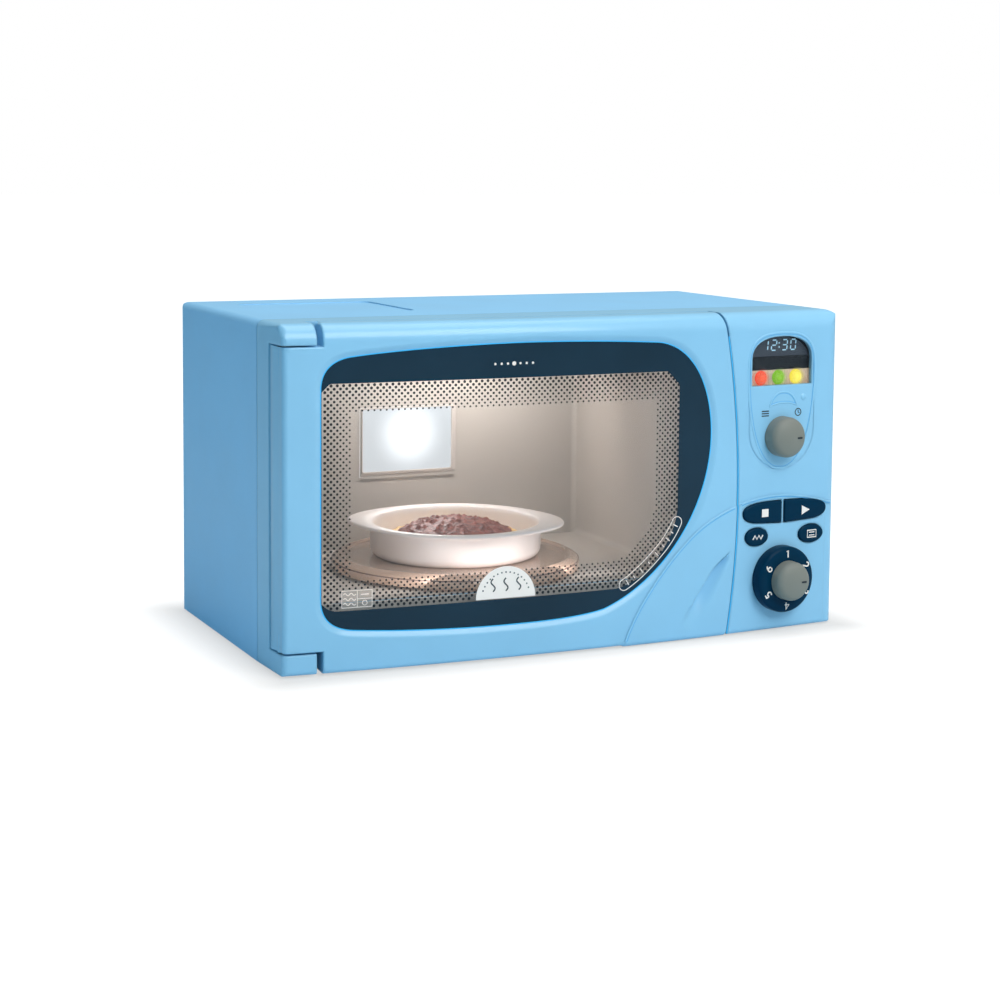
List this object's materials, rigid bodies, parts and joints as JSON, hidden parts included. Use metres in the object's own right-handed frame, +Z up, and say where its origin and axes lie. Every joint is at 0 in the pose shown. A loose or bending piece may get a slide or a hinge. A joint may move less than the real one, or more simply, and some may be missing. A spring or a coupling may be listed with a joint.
{
  "type": "toy microwave oven",
  "caption": "Toy microwave oven with a bowed front, a hinged windowed door, a geared turntable with a dish of moulded food, push buttons and turning knobs.",
  "frame": {"origin": "centre of the bounding box on the floor, under the middle of the oven with its door shut", "axes": "+X along the front towards the control panel, +Y from the front to the back, +Z up"},
  "size_m": [0.318, 0.1886, 0.1712],
  "materials": {
    "blue_plastic": "glossy light blue moulded plastic",
    "teal_plastic": "glossy dark teal moulded plastic",
    "grey_plastic": "satin warm grey moulded plastic",
    "cream_plastic": "smooth cream moulded plastic",
    "white_plastic": "smooth white moulded plastic",
    "clear_window": "clear printed plastic",
    "lamp_lens": "milky clear plastic",
    "smoked_plastic": "smoked clear plastic",
    "display_plastic": "tinted clear plastic",
    "black_plastic": "matte black plastic",
    "beige_plastic": "fine ribbed beige plastic",
    "red_light": "clear red plastic",
    "green_light": "clear green plastic",
    "yellow_light": "clear yellow plastic",
    "board_green": "solder-masked circuit board",
    "steel": "bare steel",
    "brass": "bare brass",
    "rubber": "soft dark rubber",
    "bulb_glass": "warm clear glass",
    "battery_jacket": "plastic battery jacket",
    "pasta_yellow": "moulded yellow plastic food",
    "sauce_brown": "moulded brown-red plastic food"
  },
  "bodies": {
    "cabinet": {"front_casing": "blue_plastic", "outer_case": "blue_plastic", "rear_cover": "blue_plastic", "base_plate": "blue_plastic", "battery_cover": "blue_plastic", "battery_cover_screw": "steel", "casing_screws": "steel", "foot_front_left": "rubber", "foot_front_right": "rubber", "foot_rear_left": "rubber", "foot_rear_right": "rubber", "oven_liner": "cream_plastic", "lamp_window": "lamp_lens", "lamp_reflector": "white_plastic", "lamp_bulb": "bulb_glass", "display_lens": "display_plastic", "display_screen": "black_plastic", "light_strip": "beige_plastic", "light_red": "red_light", "light_green": "green_light", "light_yellow": "yellow_light", "control_board": "board_green", "timer_switch": "black_plastic", "power_switch": "black_plastic", "button_pad": "rubber", "speaker": "black_plastic", "door_switch": "black_plastic", "batteries": "battery_jacket", "battery_contacts": "steel", "gearbox_frame": "white_plastic", "motor": "steel", "hinge_pins": "steel"},
    "door": {"door_frame": "blue_plastic", "door_glass": "clear_window", "door_lining": "cream_plastic", "door_latch": "cream_plastic", "door_screws": "steel"},
    "turntable": {"turntable": "smoked_plastic", "turntable_coupler": "white_plastic", "turntable_gear": "white_plastic", "dish": "white_plastic", "pasta": "pasta_yellow", "sauce": "sauce_brown"},
    "idler": {"idler_gear": "white_plastic"},
    "pinion": {"motor_pinion": "brass"},
    "timer": {"timer_knob": "grey_plastic"},
    "dial": {"power_dial": "teal_plastic", "power_grip": "grey_plastic"},
    "stop": {"stop_button": "teal_plastic"},
    "start": {"start_button": "teal_plastic"},
    "grill": {"grill_button": "teal_plastic"},
    "oven": {"oven_button": "teal_plastic"}
  },
  "joints": [
    {"name": "door_hinge", "type": "hinge", "parent": "cabinet", "child": "door", "pos_m": [-0.1543, -0.06669, 0.0862], "axis": [0, 0, -1], "range_deg": [0, 100]},
    {"name": "turntable_spin", "type": "hinge", "parent": "cabinet", "child": "turntable", "pos_m": [-0.0335, 0.00408, 0.0312], "axis": [0, 0, 1], "continuous": true},
    {"name": "idler_spin", "type": "hinge", "parent": "cabinet", "child": "idler", "pos_m": [-0.0005, 0.00408, 0.0192], "axis": [0, 0, 1], "continuous": true},
    {"name": "pinion_spin", "type": "hinge", "parent": "cabinet", "child": "pinion", "pos_m": [0.0215, 0.00408, 0.0192], "axis": [0, 0, 1], "continuous": true},
    {"name": "timer_turn", "type": "hinge", "parent": "cabinet", "child": "timer", "pos_m": [0.1195, -0.07718, 0.1048], "axis": [-0.0754, 0.9972, 0], "range_deg": [0, 300]},
    {"name": "dial_turn", "type": "hinge", "parent": "cabinet", "child": "dial", "pos_m": [0.1195, -0.07718, 0.0287], "axis": [-0.0754, 0.9972, 0], "continuous": true},
    {"name": "stop_press", "type": "slide", "parent": "cabinet", "child": "stop", "axis": [-0.0754, 0.9972, 0], "range_m": [0, 0.002], "stiffness_N_per_m": 200},
    {"name": "start_press", "type": "slide", "parent": "cabinet", "child": "start", "axis": [-0.0754, 0.9972, 0], "range_m": [0, 0.002], "stiffness_N_per_m": 200},
    {"name": "grill_press", "type": "slide", "parent": "cabinet", "child": "grill", "axis": [-0.0754, 0.9972, 0], "range_m": [0, 0.002], "stiffness_N_per_m": 200},
    {"name": "oven_press", "type": "slide", "parent": "cabinet", "child": "oven", "axis": [-0.0754, 0.9972, 0], "range_m": [0, 0.002], "stiffness_N_per_m": 200}
  ],
  "couplings": [
    {"joint": "idler_spin", "follows": "turntable_spin", "ratio": -4.5},
    {"joint": "pinion_spin", "follows": "turntable_spin", "ratio": 20.25}
  ]
}
